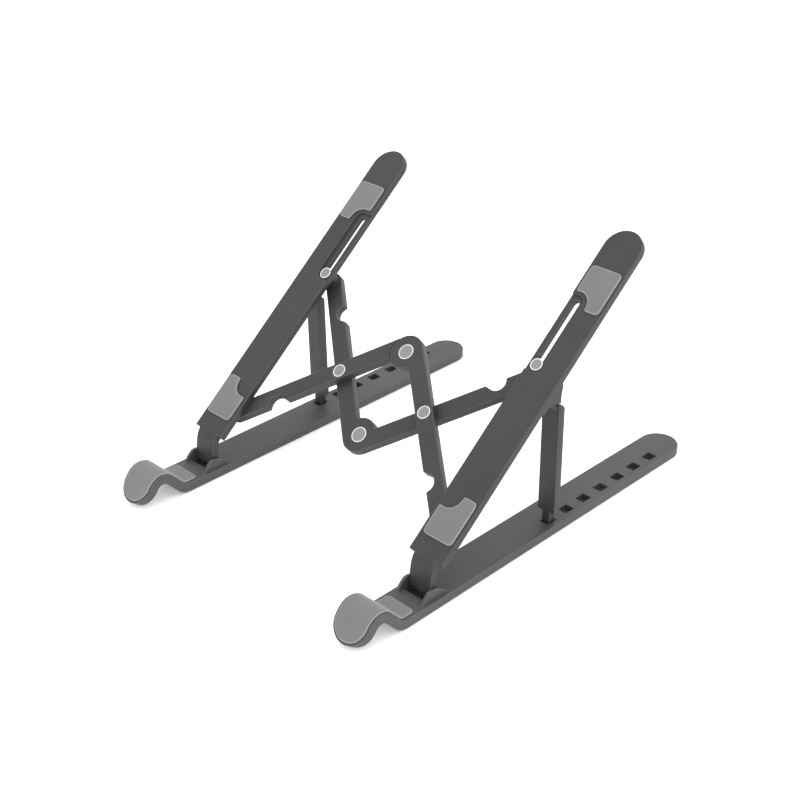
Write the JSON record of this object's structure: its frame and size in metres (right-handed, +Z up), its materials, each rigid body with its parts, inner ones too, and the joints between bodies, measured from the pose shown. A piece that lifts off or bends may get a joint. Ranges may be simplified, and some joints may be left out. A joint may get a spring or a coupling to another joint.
{
  "type": "laptop stand",
  "caption": "Foldable scissor laptop stand: two base arms with hooked lips, two tilted upper arms on struts, joined by a folding link cross.",
  "frame": {"origin": "on the table, in the middle of the stand's footprint", "axes": "+Z up, +Y back along the base arms, +X to the right seen from the front lips"},
  "size_m": [0.1848, 0.2544, 0.1462],
  "materials": {
    "arm_plastic": "satin moulded plastic",
    "base_plastic": "satin moulded plastic",
    "silicone": "matte silicone",
    "rivet_steel": "turned face with a bright rim",
    "pin_steel": "plain pin",
    "foot_rubber": "matte rubber"
  },
  "bodies": {
    "left_base": {"left_base_arm": "base_plastic", "left_lip_pad": "silicone", "left_hinge_pin": "pin_steel", "left_front_foot": "foot_rubber", "left_rear_foot": "foot_rubber"},
    "left_arm": {"left_upper_arm": "arm_plastic", "left_upper_pad": "silicone", "left_lower_pad": "silicone", "left_pivot_pin": "pin_steel", "left_strut_pin": "pin_steel"},
    "left_strut": {"left_strut": "arm_plastic"},
    "left_rising_link": {"left_rising_link": "arm_plastic", "left_crossing_rivet": "rivet_steel"},
    "left_falling_link": {"left_falling_link": "arm_plastic", "left_slot_rivet": "rivet_steel", "lower_centre_rivet": "rivet_steel"},
    "right_rising_link": {"right_rising_link": "arm_plastic", "right_crossing_rivet": "rivet_steel", "upper_centre_rivet": "rivet_steel"},
    "right_falling_link": {"right_falling_link": "arm_plastic", "right_slot_rivet": "rivet_steel"},
    "right_arm": {"right_upper_arm": "arm_plastic", "right_upper_pad": "silicone", "right_lower_pad": "silicone", "right_pivot_pin": "pin_steel", "right_strut_pin": "pin_steel"},
    "right_strut": {"right_strut": "arm_plastic"},
    "right_base": {"right_base_arm": "base_plastic", "right_lip_pad": "silicone", "right_hinge_pin": "pin_steel", "right_front_foot": "foot_rubber", "right_rear_foot": "foot_rubber"}
  },
  "joints": [
    {"name": "stand_tilt", "type": "hinge", "parent": "left_base", "child": "left_arm", "pos_m": [-0.08156, -0.0741, 0.0067], "axis": [1, 0, 0], "range_deg": [0, 45]},
    {"name": "right_base_tilt", "type": "hinge", "parent": "right_arm", "child": "right_base", "pos_m": [0.08156, -0.0741, 0.0067], "axis": [1, 0, 0], "range_deg": [-45, 0]},
    {"name": "scissor_fold", "type": "hinge", "parent": "left_arm", "child": "left_rising_link", "pos_m": [-0.07556, -0.05522, 0.0306], "axis": [0, -0.6437, 0.7653], "range_deg": [0, 43.4]},
    {"name": "upper_centre_fold", "type": "hinge", "parent": "left_rising_link", "child": "right_rising_link", "pos_m": [0, -0.00186, 0.07548], "axis": [0, -0.6437, 0.7653], "range_deg": [-86.8, 0]},
    {"name": "left_crossing_fold", "type": "hinge", "parent": "left_rising_link", "child": "left_falling_link", "pos_m": [-0.03105, -0.02067, 0.05966], "axis": [0, -0.6437, 0.7653], "range_deg": [-86.8, 0]},
    {"name": "right_crossing_fold", "type": "hinge", "parent": "right_rising_link", "child": "right_falling_link", "pos_m": [0.03105, -0.02067, 0.05966], "axis": [0, -0.6437, 0.7653], "range_deg": [0, 86.8]},
    {"name": "right_arm_fold", "type": "hinge", "parent": "right_rising_link", "child": "right_arm", "pos_m": [0.07556, -0.05522, 0.0306], "axis": [0, -0.6437, 0.7653], "range_deg": [0, 43.4]},
    {"name": "left_strut_swing", "type": "hinge", "parent": "left_arm", "child": "left_strut", "pos_m": [-0.08156, 0.0078, 0.0818], "axis": [1, 0, 0], "range_deg": [0, 110]},
    {"name": "right_strut_swing", "type": "hinge", "parent": "right_arm", "child": "right_strut", "pos_m": [0.08156, 0.0078, 0.0818], "axis": [1, 0, 0], "range_deg": [0, 110]}
  ],
  "couplings": [
    {"joint": "right_base_tilt", "follows": "stand_tilt", "ratio": -1},
    {"joint": "upper_centre_fold", "follows": "scissor_fold", "ratio": -2},
    {"joint": "left_crossing_fold", "follows": "scissor_fold", "ratio": -2},
    {"joint": "right_crossing_fold", "follows": "scissor_fold", "ratio": 2},
    {"joint": "right_arm_fold", "follows": "scissor_fold", "ratio": 1}
  ]
}
